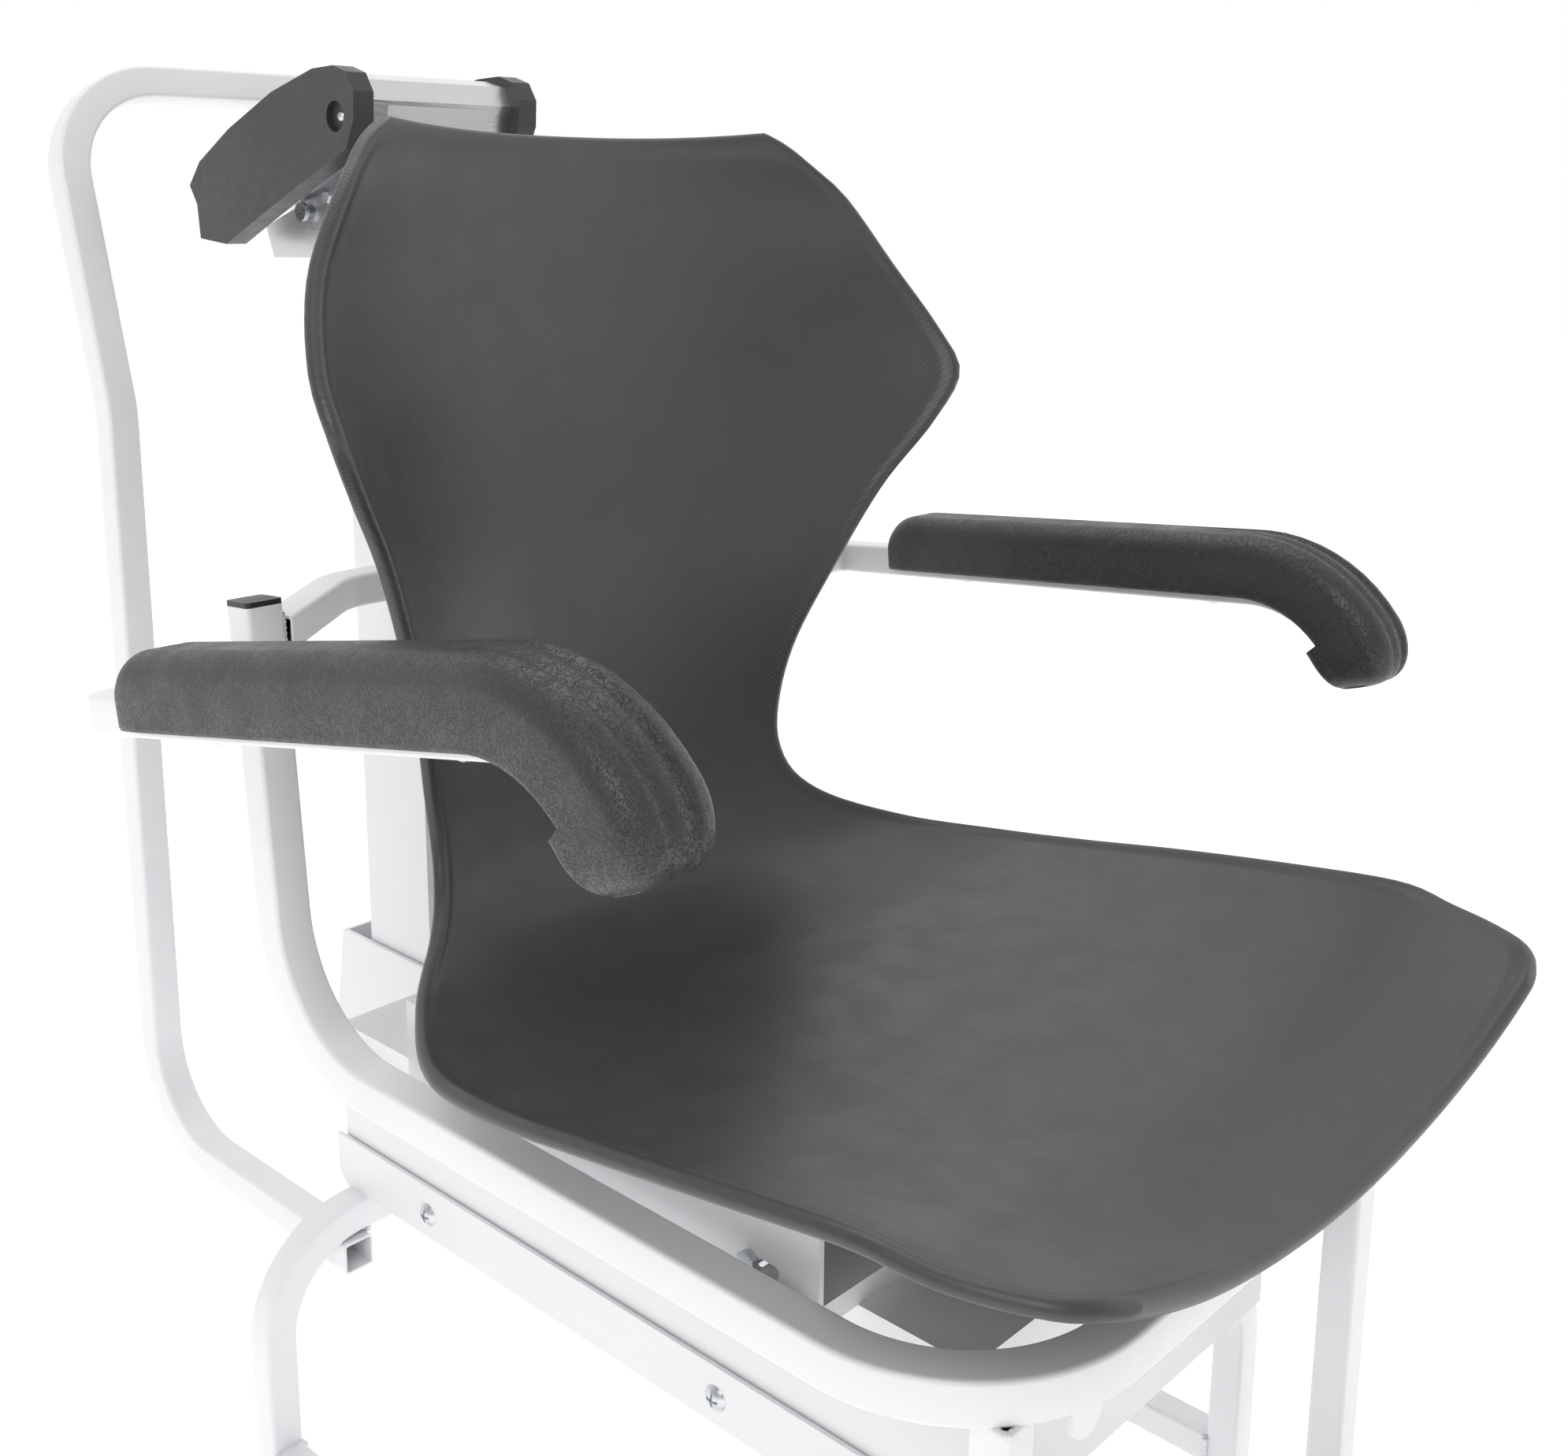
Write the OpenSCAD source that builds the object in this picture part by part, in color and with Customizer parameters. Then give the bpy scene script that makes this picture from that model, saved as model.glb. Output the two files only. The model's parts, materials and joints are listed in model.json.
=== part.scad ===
// Digital chair scale. Front of the chair is -Y, up is +Z, and the floor is at z = 0.

/* [Tubes] */
// Side of the square tube of the base and the handle
leg_tube = 20; // [18:1:22]
// Side of the square tube of the seat frame
seat_tube = 22; // [20:1:24]
// Wall of every square tube
tube_wall = 1.5; // [1:0.1:2]

/* [Base] */
// Height of the middle of the leg frames' top tubes
leg_top_z = 275; // [260:1:290]
// Half the distance between the legs
leg_x = 198; // [190:1:205]
// Rear leg frame from the middle of the scale
rear_leg_y = 186; // [180:1:190]
// Front leg frame from the middle of the scale
front_leg_y = -228; // [-235:1:-222]
// Height of the middle of the lower side rails
side_rail_z = 137; // [130:1:145]

/* [Handle] */
// Half the distance between the handle's legs
handle_x = 145; // [135:1:150]
// Handle's upright legs from the middle of the scale
handle_y = 403; // [395:1:410]
// Height of the middle of the handle bar
handle_top_z = 948; // [930:1:960]

/* [Seat frame] */
// Half the distance between the side tubes
seat_x = 190; // [185:1:195]
// Height of the middle of the seat tube
seat_z = 413; // [408:1:418]
// Front tube from the middle of the scale
seat_front_y = -328; // [-335:1:-320]
// Bend radius of the seat tube
seat_bend = 85; // [80:1:90]
// Lean of the posts behind the vertical, degrees
post_lean = 4.1; // [3:0.1:5]

/* [Arms] */
// Half the distance between the arm tubes
arm_x = 283; // [278:1:290]
// Height of the arm pivots
pivot_z = 624; // [620:1:628]
// Slope of the left arm as it stands
left_arm_rise = 10.2; // [5:0.1:12]
// Slope of the right arm as it stands
right_arm_rise = 4.7; // [3:0.1:6]

/* [Castors] */
// Diameter of the castor wheels
wheel_d = 75; // [70:1:80]
// Width of the castor wheels
wheel_w = 24; // [20:1:26]

/* [Hidden] */
$fn = 48;

white = [0.93, 0.94, 0.95];
charcoal = [0.27, 0.27, 0.28];
zinc = [0.72, 0.73, 0.74];
alu = [0.80, 0.81, 0.82];

half_leg = leg_tube / 2;
half_seat = seat_tube / 2;
corner_r = 2.5;
leg_bend = 60;
leg_foot_z = 100.1;
handle_run_z = leg_top_z - leg_tube - 3.1;
handle_bend = 70;
handle_end_y = 174;
kick_start_z = 737;
kick_angle = 15;
kick_r = 60;
bar_r = 65;
channel_top_z = 317.5;
channel_bottom_z = leg_top_z + half_leg;
channel_x = 136;
channel_t = 2.5;
channel_rear_y = 205;
channel_front_y = -236;
box_x = 132.5;
box_rear_y = 200;
box_front_y = -274;
box_top_z = seat_z - half_seat - 11;
box_bottom_z = 292;
sheet = 2;
post_top_z = 663;
post_top_y = 174;
pivot_y = 167;
arm_straight = 332;
arm_bend = 68;
arm_turn = 78;
tube_turn = 70;
pad_screw_us = [115, 305];
column_hx = 30;
column_front_y = 252;
column_rear_y = 320;
column_top_z = 850;
hanger_x = 159;
hanger_y = -308.5;
hanger_foot_z = 112;
foot_pivot_z = 120;
stem_z = 100;
wheel_r = wheel_d / 2;
castor_trail = 28;

// --- square tube: section, straight lengths and bends

// Filled square with rounded corners
module round_square(side, r) {
    square([side - 2 * r, side], center = true);
    square([side, side - 2 * r], center = true);
    for (x = [-1, 1], y = [-1, 1]) translate([x * (side / 2 - r), y * (side / 2 - r)]) circle(r, $fn = 12);
}

// Cross-section of a square tube
module section(side) {
    difference() {
        round_square(side, corner_r);
        round_square(side - 2 * tube_wall, corner_r - tube_wall + 0.2);
    }
}

// Straight tube from the origin along +Z
module straight(side, length) {
    linear_extrude(length) section(side);
}

// Bend that starts at the origin along +Z and turns towards +X
module bend(side, r, angle) {
    translate([r, 0, 0]) mirror([1, 0, 0]) rotate([90, 0, 0])
        rotate_extrude(angle = angle) translate([r, 0]) section(side);
}

// Places children at the end of a bend of radius r and angle a, along the new direction
module after_bend(r, angle) {
    translate([r * (1 - cos(angle)), 0, r * sin(angle)]) rotate([0, angle, 0]) children();
}

// Both sides of the scale
module both_sides() {
    children();
    mirror([1, 0, 0]) children();
}

// --- base

// Inverted U: two legs joined by a top tube, drawn from its middle outwards
module leg_frame(y) {
    half_top = leg_x - leg_bend;
    color(white) both_sides() translate([0, y, leg_top_z]) rotate([0, 90, 0]) {
        straight(leg_tube, half_top);
        translate([0, 0, half_top]) {
            bend(leg_tube, leg_bend, 90);
            after_bend(leg_bend, 90) straight(leg_tube, leg_top_z - leg_bend - leg_foot_z);
        }
    }
}

module rear_leg_frame() leg_frame(rear_leg_y);

module front_leg_frame() leg_frame(front_leg_y);

module side_rails() {
    length = rear_leg_y - front_leg_y - leg_tube;
    color(white) both_sides() translate([leg_x, front_leg_y + half_leg, side_rail_z]) rotate([-90, 0, 0])
        straight(leg_tube, length);
}

// Two bent legs and the loop of the bar, which stands on them with a hairline joint
module push_handle() {
    run = handle_y - handle_bend - handle_end_y;
    rise = kick_start_z - handle_run_z - handle_bend;
    tilted = (handle_top_z - kick_start_z - kick_r * sin(kick_angle)) / cos(kick_angle) - bar_r;
    joint = 0.02;
    color(white) both_sides() {
        translate([handle_x, handle_end_y, handle_run_z]) rotate([0, 0, 90]) rotate([0, 90, 0]) {
            straight(leg_tube, run);
            translate([0, 0, run]) mirror([1, 0, 0]) {
                bend(leg_tube, handle_bend, 90);
                after_bend(handle_bend, 90) straight(leg_tube, rise);
            }
        }
        translate([handle_x, handle_y, kick_start_z + joint]) rotate([0, 0, 90]) bend(leg_tube, kick_r, kick_angle);
        translate([handle_x, handle_y, kick_start_z + 2 * joint]) rotate([0, 0, 90]) after_bend(kick_r, kick_angle) {
            straight(leg_tube, tilted);
            translate([0, 0, tilted]) rotate([0, 0, 90]) {
                bend(leg_tube, bar_r, 90);
                after_bend(bar_r, 90) straight(leg_tube, handle_x - bar_r);
            }
        }
    }
}

// Angle-section channel with a rounded top front corner and a cut lower rear corner
module base_channels() {
    height = channel_top_z - channel_bottom_z;
    nose = 12;
    notch = 8;
    flange = 22;
    length = channel_rear_y - channel_front_y;
    color(white) both_sides() {
        difference() {
            translate([channel_x - channel_t, 0, 0]) rotate([90, 0, 90]) linear_extrude(channel_t) difference() {
                union() {
                    translate([channel_front_y + nose, channel_bottom_z]) square([length - nose, height]);
                    translate([channel_front_y, channel_bottom_z]) square([nose + 1, height - nose]);
                    translate([channel_front_y + nose, channel_top_z - nose]) circle(nose);
                }
                translate([channel_rear_y, channel_bottom_z]) rotate(45) square(notch * sqrt(2), center = true);
            }
            for (y = [114, -122]) translate([channel_x - 5, y, 300]) rotate([0, 90, 0]) cylinder(r = 3.2, h = 8);
        }
        translate([channel_x - flange, channel_front_y, channel_bottom_z])
            cube([flange - channel_t, length - 12, channel_t]);
    }
}

// Cross-recessed pan head on a shank along +Z, underside of the head at the origin
module pan_screw(head_r, head_h, shank_r, length) {
    sphere_r = (head_r * head_r + head_h * head_h) / (2 * head_h);
    difference() {
        intersection() {
            translate([0, 0, head_h - sphere_r]) sphere(sphere_r);
            cylinder(r = head_r, h = head_h);
        }
        for (a = [0, 90]) rotate(a) translate([0, 0, head_h]) cube([head_r * 1.1, head_r * 0.2, head_h], center = true);
    }
    translate([0, 0, -length]) cylinder(r = shank_r, h = length + 0.01);
}

module channel_screws() {
    color(zinc) both_sides() for (y = [114, -122])
        translate([channel_x + 0.05, y, 300]) rotate([0, 90, 0]) pan_screw(7, 3.2, 3, 3.4);
}

// Plate across the channels that carries the fixed end of the load cell
module cell_plate() {
    color(white) difference() {
        translate([-channel_x + channel_t, 40, channel_bottom_z + channel_t])
            cube([2 * (channel_x - channel_t), 110, 4]);
        for (x = [-12, 12], y = [75, 115]) translate([x, y, channel_bottom_z]) cylinder(r = 3.25, h = 10);
    }
}

module load_cell() {
    z = channel_bottom_z + channel_t + 4 + 5;
    color(alu) difference() {
        union() {
            translate([-20, -140, z]) cube([40, 280, 35]);
            translate([-20, 60, z - 5]) cube([40, 70, 5]);
            translate([-20, -140, z + 35]) cube([40, 70, box_top_z - sheet - z - 35]);
        }
        for (y = [-16, 16]) translate([-21, y, z + 17.5]) rotate([0, 90, 0]) cylinder(r = 12, h = 42);
        translate([-21, -16, z + 14]) cube([42, 32, 7]);
        for (x = [-12, 12], y = [75, 115]) translate([x, y, z - 6]) cylinder(r = 3.25, h = 24);
    }
}

module cell_bolts() {
    z = channel_bottom_z + channel_t;
    color(zinc) for (x = [-12, 12], y = [75, 115]) translate([x, y, z - 4]) {
        cylinder(r = 5.7, h = 4, $fn = 6);
        cylinder(r = 3, h = 28);
    }
}

// --- weighed frame

// Sheet cover over the load cell, open below
module weigh_box() {
    color(white) difference() {
        translate([-box_x, box_front_y, box_bottom_z])
            cube([2 * box_x, box_rear_y - box_front_y, box_top_z - box_bottom_z]);
        translate([-box_x + sheet, box_front_y + sheet, box_bottom_z - 1])
            cube([2 * (box_x - sheet), box_rear_y - box_front_y - 2 * sheet, box_top_z - box_bottom_z - sheet + 1]);
    }
}

post_arc = 90 - post_lean;
post_foot_y = post_top_y - tan(post_lean) * (post_top_z - seat_z - seat_bend * (1 - cos(post_arc)));
rear_bend_y = post_foot_y - seat_bend * sin(post_arc);
post_length = (post_top_z - seat_z - seat_bend * (1 - cos(post_arc))) / cos(post_lean);

// One continuous tube: half of the front, corner, side, rear bend and post
module seat_frame() {
    half_front = seat_x - seat_bend;
    side = rear_bend_y - seat_front_y - seat_bend;
    color(white) both_sides() translate([0, seat_front_y, seat_z]) rotate([0, 90, 0]) rotate([0, 0, 90]) {
        straight(seat_tube, half_front);
        translate([0, 0, half_front]) {
            bend(seat_tube, seat_bend, 90);
            after_bend(seat_bend, 90) {
                straight(seat_tube, side);
                translate([0, 0, side]) rotate([0, 0, 90]) {
                    bend(seat_tube, seat_bend, post_arc);
                    after_bend(seat_bend, post_arc) straight(seat_tube, post_length);
                }
            }
        }
    }
}

module post_caps() {
    color("black") both_sides() translate([seat_x, post_top_y, post_top_z]) rotate([-post_lean, 0, 0]) {
        linear_extrude(3) round_square(seat_tube, corner_r);
        translate([0, 0, -10]) linear_extrude(10.01) round_square(seat_tube - 2 * tube_wall - 0.02, 1);
    }
}

// Two tubes across the box that carry the seat tube's sides
module cross_bars() {
    bar_h = 11;
    inner = seat_x - 2;
    color(white) for (y = [-190, 40]) difference() {
        translate([-inner, y - 20, box_top_z]) cube([2 * inner, 40, bar_h]);
        translate([-inner - 1, y - 18, box_top_z + 2]) cube([2 * inner + 2, 36, bar_h - 4]);
    }
}

rail_foot_z = box_top_z + 11;
rail_top_z = 454;
rail_x = 165;
bolt_z = 413;
seat_bolt_ys = [-174, 52];

// Upright webs along the chair, slotted for the seat bolts
module seat_rails() {
    flange = 24;
    slot = 14;
    color(white) both_sides() difference() {
        union() {
            translate([rail_x - 3, -215, rail_foot_z]) cube([3, 300, rail_top_z - rail_foot_z]);
            translate([rail_x - flange, -215, rail_top_z - 3]) cube([flange - 1, 300, 3]);
        }
        for (y = seat_bolt_ys) translate([rail_x - 4, y, bolt_z]) rotate([0, 90, 0]) {
            cylinder(r = 3.3, h = 6);
            translate([0, -slot, 0]) cylinder(r = 3.3, h = 6);
            translate([-3.3, -slot, 0]) cube([6.6, slot, 6]);
        }
    }
}

module seat_bolts() {
    color(zinc) both_sides() for (y = seat_bolt_ys) translate([rail_x + 0.05, y, bolt_z]) rotate([0, 90, 0]) {
        cylinder(r = 5.8, h = 4.2, $fn = 6);
        translate([0, 0, -9]) cylinder(r = 3, h = 9.01);
    }
}

// Angled from each post, then straight across in front of the column
module back_cross_tube() {
    y = column_front_y - half_leg - 0.2;
    z = 645;
    post_y = post_top_y - tan(post_lean) * (post_top_z - z);
    turn_x = 95;
    out_x = seat_x - half_seat - 0.05;
    slope = atan2(y - post_y, out_x - turn_x);
    color(white) both_sides() difference() {
        union() {
            translate([0, y, z]) rotate([0, 90, 0]) straight(leg_tube, turn_x + 3);
            translate([turn_x, y, z]) rotate([0, 0, -slope]) rotate([0, 90, 0])
                straight(leg_tube, (out_x - turn_x) / cos(slope) + 4);
        }
        translate([out_x, -500, 0]) cube([200, 1500, 2000]);
    }
}

column_bolt_zs = [405, 432];
column_bolt_x = -18;

module column() {
    wide = 2 * column_hx;
    deep = column_rear_y - column_front_y;
    low = 305;
    color(white) difference() {
        translate([-column_hx, column_front_y, low]) cube([wide, deep, column_top_z - low]);
        translate([-column_hx + sheet, column_front_y + sheet, low - 1])
            cube([wide - 2 * sheet, deep - 2 * sheet, column_top_z]);
        for (z = column_bolt_zs) translate([column_bolt_x, column_front_y - 1, z]) rotate([-90, 0, 0])
            cylinder(r = 2.6, h = sheet + 2);
    }
}

// Folded sheet foot of the column, welded to the back of the weighing box
module column_sleeve() {
    hx = column_hx + 4;
    outer = [[box_rear_y, 294], [363, 294], [349, 376], [247, 376], [240, 335], [box_rear_y, 326]];
    inner = [[box_rear_y - 1, 297], [359, 297], [346, 377], [250, 377], [243, 332], [box_rear_y - 1, 323]];
    color(white) difference() {
        translate([-hx, 0, 0]) rotate([90, 0, 90]) linear_extrude(2 * hx) polygon(outer);
        translate([-hx + 3, 0, 0]) rotate([90, 0, 90]) linear_extrude(2 * hx - 6) polygon(inner);
    }
    color(white) for (s = [-1, 1]) translate([s * (column_hx + 1.5) - 1.5, 252, 300]) cube([3, 68, 60]);
}

module column_bolts() {
    color(zinc) for (z = column_bolt_zs) translate([column_bolt_x, column_front_y - 0.05, z]) rotate([90, 0, 0]) {
        cylinder(r = 5.2, h = 4, $fn = 6);
        translate([0, 0, -8]) cylinder(r = 2.5, h = 8.01);
    }
}

// Stations of the shell from the front lip to the top of the back:
// [y, z in the middle, half width, how far the edge stands out, its direction in degrees (0 up, 90 forward),
// power of the curve across]
shell_t = 5;
shell_rows = [
    [-381, 457, 180, 41, 0, 2], [-376, 460, 199, 44, 0, 2.1], [-366, 463, 213, 43, 0, 2.1], [-345, 468, 224, 39, 0, 2.2],
    [-322, 472, 231, 36, 0, 2.3], [-290, 474, 236, 37, 0, 2.4], [-225, 470, 239, 33, 0, 2.4],
    [-150, 464, 240, 28, 0, 2.4],
    [-80, 458, 238, 23, 0, 2.4], [-20, 453, 228, 23, 5, 2.4], [35, 454, 196, 28, 15, 2.4], [78, 468, 162, 32, 35, 2.4],
    [104, 495, 143, 29, 60, 2.4], [114, 527, 136, 25, 80, 2.4], [118, 560, 138, 27, 88, 2.4], [120, 600, 146, 36, 90, 2.4],
    [121, 650, 165, 54, 90, 2.4], [122, 700, 188, 73, 90, 2.4], [123, 740, 214, 93, 90, 2.4], [124, 772, 230, 102, 90, 2.4],
    [125, 800, 228, 86, 90, 2.4], [126, 840, 211, 62, 90, 2.4], [126, 880, 184, 46, 90, 2.4], [126, 897, 166, 33, 86, 2.4],
    [126, 906, 152, 26, 80, 2.4], [126, 912, 136, 21.5, 75, 2.4]];
shell_steps = 12;

// Point of station r at u across it, from -1 to 1, and lift above the seat's face
function shell_point(r, u, lift) = let (
    out = r[3] * pow(abs(u), r[5]) + lift,
    side = [0, -sin(r[4]), cos(r[4])]
) [u * r[2], r[0], r[1]] + out * side;

module seat_shell() {
    n = shell_steps + 1;
    m = len(shell_rows);
    layer = n * m;
    across = [for (i = [0:shell_steps]) i / shell_steps * 2 - 1];
    pts = [for (lift = [0, -shell_t]) each [for (r = shell_rows) each [for (u = across) shell_point(r, u, lift)]]];
    cells = [for (j = [0:m - 2], i = [0:shell_steps - 1]) j * n + i];
    upper = [for (c = cells) each [[c, c + n, c + n + 1], [c, c + n + 1, c + 1]]];
    lower = [for (c = cells) let (d = c + layer) each [[d, d + n + 1, d + n], [d, d + 1, d + n + 1]]];
    front = [for (i = [0:shell_steps - 1]) each [[i, i + 1, layer + i + 1], [i, layer + i + 1, layer + i]]];
    last = layer - n;
    top = [for (i = [0:shell_steps - 1]) let (c = last + i)
        each [[c, layer + c + 1, c + 1], [c, layer + c, layer + c + 1]]];
    left = [for (j = [0:m - 2]) let (c = j * n) each [[c, layer + c, layer + c + n], [c, layer + c + n, c + n]]];
    right = [for (j = [0:m - 2]) let (c = j * n + shell_steps)
        each [[c, layer + c + n, layer + c], [c, c + n, layer + c + n]]];
    color(charcoal) {
        polyhedron(pts, concat(upper, lower, front, top, left, right));
        for (sx = [-1, 1], b = [[-150, 17], [20, 10]]) translate([sx * 153, b[0], rail_top_z]) cylinder(r = 9, h = b[1]);
    }
}

// Tubes that hang the footrest from the front corners of the seat frame
module hanger_tubes() {
    top = seat_z - half_seat;
    color(white) both_sides() difference() {
        translate([hanger_x, hanger_y, hanger_foot_z]) straight(leg_tube, top - hanger_foot_z);
        translate([hanger_x - 20, hanger_y, foot_pivot_z]) rotate([0, 90, 0]) cylinder(r = 4.05, h = 40);
    }
}

// Round-ended tabs under the front tube
module stop_tabs() {
    low = seat_z - half_seat;
    drop = 18;
    half_w = 11;
    color(white) both_sides() translate([128, seat_front_y - 1.5, 0]) rotate([90, 0, 0]) translate([0, 0, -3])
        linear_extrude(3) {
            translate([-half_w, low - drop + half_w]) square([2 * half_w, drop - half_w - 0.02]);
            intersection() {
                translate([0, low - drop + half_w]) circle(half_w);
                translate([-half_w, low - drop]) square([2 * half_w, half_w]);
            }
        }
}

// --- indicator

cap_profile = [[252, 905], [243, 922], [242, 938], [249, 949], [262, 953], [284, 952], [330, 940], [382, 919],
    [420, 899], [434, 884], [426, 872], [424, 850], [392, 847], [348, 866], [300, 886]];
body_profile = [[258, 908], [250, 934], [256, 946], [272, 950], [424, 890], [416, 862], [345, 878]];
body_inner = [[261, 910], [253.5, 934], [258, 943.5], [271.5, 947.3], [421, 888], [414, 865.5], [345, 881]];
deck_slope = atan2(890 - 950, 424 - 272);
tilt_y = 352;
tilt_z = 868;
half_body = 54;
cap_w = 14;

// Folded bracket on the column's top that holds the indicator between two ears
module indicator_bracket() {
    ear = [[306, 840], [394, 838], [402, 858], [372, 868], [356, 873], [342, 875], [308, 870]];
    color(alu) {
        for (s = [-1, 1]) translate([s * 31.5 - 1, 0, 0]) rotate([90, 0, 90]) linear_extrude(2) difference() {
            polygon(ear);
            translate([tilt_y, tilt_z]) circle(3.05);
        }
        translate([-32.5, column_front_y, column_top_z]) cube([65, 394 - column_front_y, 2]);
    }
}

module indicator_pin() {
    color(zinc) translate([-35, tilt_y, tilt_z]) rotate([0, 90, 0]) {
        cylinder(r = 2.98, h = 70);
        translate([0, 0, -3]) cylinder(r = 6, h = 3.01);
        translate([0, 0, 70]) cylinder(r = 6, h = 3);
    }
}

module indicator_housing() {
    color(alu) difference() {
        union() {
            translate([-half_body, 0, 0]) rotate([90, 0, 90]) linear_extrude(2 * half_body) difference() {
                polygon(body_profile);
                polygon(body_inner);
            }
            for (s = [-1, 1]) translate([s * 27 - 2, 0, 0]) rotate([90, 0, 90]) linear_extrude(4)
                polygon([[338, 880.5], [366, 874.5], [358, 861], [346, 861]]);
        }
        deck(322) cube([84, 56, 20], center = true);
        for (i = [0:4]) deck(key_y) translate([(i - 2) * key_pitch, 0, 0]) cube([13.2, 11.2, 20], center = true);
        translate([-40, tilt_y, tilt_z]) rotate([0, 90, 0]) cylinder(r = 3.05, h = 80);
    }
}

key_y = 388;
key_pitch = 17;

// Places children on the sloping deck at y
module deck(y) {
    translate([0, y, 950 + (y - 272) * tan(deck_slope)]) rotate([deck_slope, 0, 0]) children();
}

module indicator_caps() {
    color(charcoal) both_sides() difference() {
        translate([half_body + 0.05, 0, 0]) rotate([90, 0, 90]) linear_extrude(cap_w) polygon(cap_profile);
        translate([half_body + cap_w - 4, 262, 924]) rotate([0, 90, 0]) cylinder(r = 9, h = 6);
        translate([half_body + cap_w - 8, 262, 924]) rotate([0, 90, 0]) cylinder(r = 1.6, h = 5);
    }
}

module cap_screws() {
    color(zinc) both_sides() translate([half_body + cap_w - 4, 262, 924]) rotate([0, 90, 0]) pan_screw(3.4, 1.8, 1.5, 3);
}

module display_window() {
    color([0.1, 0.12, 0.13]) deck(322) translate([0, 0, -0.6]) cube([83.8, 55.8, 2.4], center = true);
}

module battery_cover() {
    color(charcoal) translate([-26, 0, 0]) rotate([90, 0, 90]) linear_extrude(52)
        polygon([[263, 906.1], [300, 893.3], [299.4, 891.7], [262.4, 904.5]]);
}

module key(i) {
    color(charcoal) deck(key_y) translate([(i - 2) * key_pitch, 0, 0]) cube([12.6, 10.6, 4.4], center = true);
}

module power_key() key(0);

module tare_key() key(1);

module hold_key() key(2);

module mode_key() key(4);

// --- arms

// Local frame of an arm: pivot at the origin, forward along -Y, for the right side
module right_side_arm(rise) {
    translate([0, pivot_y, pivot_z]) rotate([-rise, 0, 0]) children();
}

module arm_tube() {
    inner = seat_x + half_seat + 0.6;
    corner = 14;
    bush = leg_tube - 2 * tube_wall + 0.6;
    color(white) difference() {
        union() {
            translate([inner, 0, 0]) rotate([0, 90, 0]) rotate([0, 0, -90]) {
                straight(leg_tube, arm_x - inner - corner);
                translate([0, 0, arm_x - inner - corner]) {
                    bend(leg_tube, corner, 90);
                    after_bend(corner, 90) {
                        straight(leg_tube, arm_straight - corner);
                        translate([0, 0, arm_straight - corner]) rotate([0, 0, 90]) {
                            bend(leg_tube, arm_bend, tube_turn);
                        }
                    }
                }
            }
            translate([inner, -bush / 2, -bush / 2]) cube([24, bush, bush]);
        }
        translate([inner - 1, 0, 0]) rotate([0, 90, 0]) cylinder(r = 5.05, h = 26);
        for (u = pad_screw_us) translate([arm_x, -u, -half_leg - 1]) cylinder(r = 2.1, h = tube_wall + 2);
    }
}

// Pad section, above and round the sides of the tube, with the tube's middle at the origin
pad_half = 23;
pad_top = 33.5;
pad_low = -4;

module pad_section() {
    difference() {
        union() {
            translate([-pad_half, pad_low]) square([2 * pad_half, pad_top - 14 - pad_low]);
            translate([-pad_half + 14, 0]) square([2 * pad_half - 28, pad_top]);
            for (s = [-1, 1]) translate([s * (pad_half - 14), pad_top - 14]) circle(14);
        }
        translate([-half_leg - 0.05, pad_low - 1]) square([leg_tube + 0.1, half_leg + 1.05 - pad_low]);
    }
}

module arm_pad() {
    start = 62;
    color(charcoal) translate([arm_x, 0, 0]) {
        translate([0, -start, 0]) rotate([90, 0, 0]) linear_extrude(arm_straight - start + 0.02) pad_section();
        translate([0, -arm_straight, -arm_bend]) rotate(a = 180, v = [1, 0, 1])
            rotate_extrude(angle = arm_turn) translate([arm_bend, 0]) rotate(-90) pad_section();
    }
}

module pad_screws() {
    color(zinc) for (u = pad_screw_us) translate([arm_x, -u, -half_leg - 0.05]) rotate([180, 0, 0])
        pan_screw(5, 2.6, 2, 2);
}

module left_arm_tube() mirror([1, 0, 0]) right_side_arm(left_arm_rise) arm_tube();

module left_arm_pad() mirror([1, 0, 0]) right_side_arm(left_arm_rise) arm_pad();

module left_pad_screws() mirror([1, 0, 0]) right_side_arm(left_arm_rise) pad_screws();

module right_arm_tube() right_side_arm(right_arm_rise) arm_tube();

module right_arm_pad() right_side_arm(right_arm_rise) arm_pad();

module right_pad_screws() right_side_arm(right_arm_rise) pad_screws();

module arm_pivot_bolts() {
    inner = seat_x - half_seat;
    color(zinc) both_sides() translate([inner, pivot_y, pivot_z]) rotate([0, 90, 0]) {
        translate([0, 0, seat_tube]) cylinder(r = 5, h = 24);
    }
}

// --- footrest

plate_length = 185;
plate_width = 120;

// Plate that folds up about a pin through the hanger tube
module foot_plate() {
    inner = hanger_x - half_leg - 0.6;
    color(alu) difference() {
        union() {
            translate([inner - plate_width, hanger_y - plate_length + 30, foot_pivot_z - 14]) cube([plate_width, plate_length, 4]);
            translate([inner - 8, hanger_y - 10, foot_pivot_z - 12]) cube([8, 20, 12]);
            translate([inner - 8, hanger_y, foot_pivot_z]) rotate([0, 90, 0]) cylinder(r = 10, h = 8);
        }
        translate([inner - 20, hanger_y, foot_pivot_z]) rotate([0, 90, 0]) cylinder(r = 4.05, h = 40);
    }
}

module left_foot_plate() mirror([1, 0, 0]) foot_plate();

module right_foot_plate() foot_plate();

module foot_mat() {
    inner = hanger_x - half_leg - 0.6;
    color("black") translate([inner - plate_width + 6, hanger_y - plate_length + 36, foot_pivot_z - 10])
        cube([plate_width - 18, plate_length - 50, 2]);
}

module left_foot_mat() mirror([1, 0, 0]) foot_mat();

module right_foot_mat() foot_mat();

module foot_pins() {
    color(zinc) both_sides() translate([hanger_x - half_leg - 9, hanger_y, foot_pivot_z]) rotate([0, 90, 0]) {
        cylinder(r = 3.98, h = leg_tube + 11);
        translate([0, 0, leg_tube + 9.6]) cylinder(r = 7, h = 4);
    }
}

// --- castors: sx and y place the leg, dir is +1 when the wheel trails towards +Y

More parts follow.
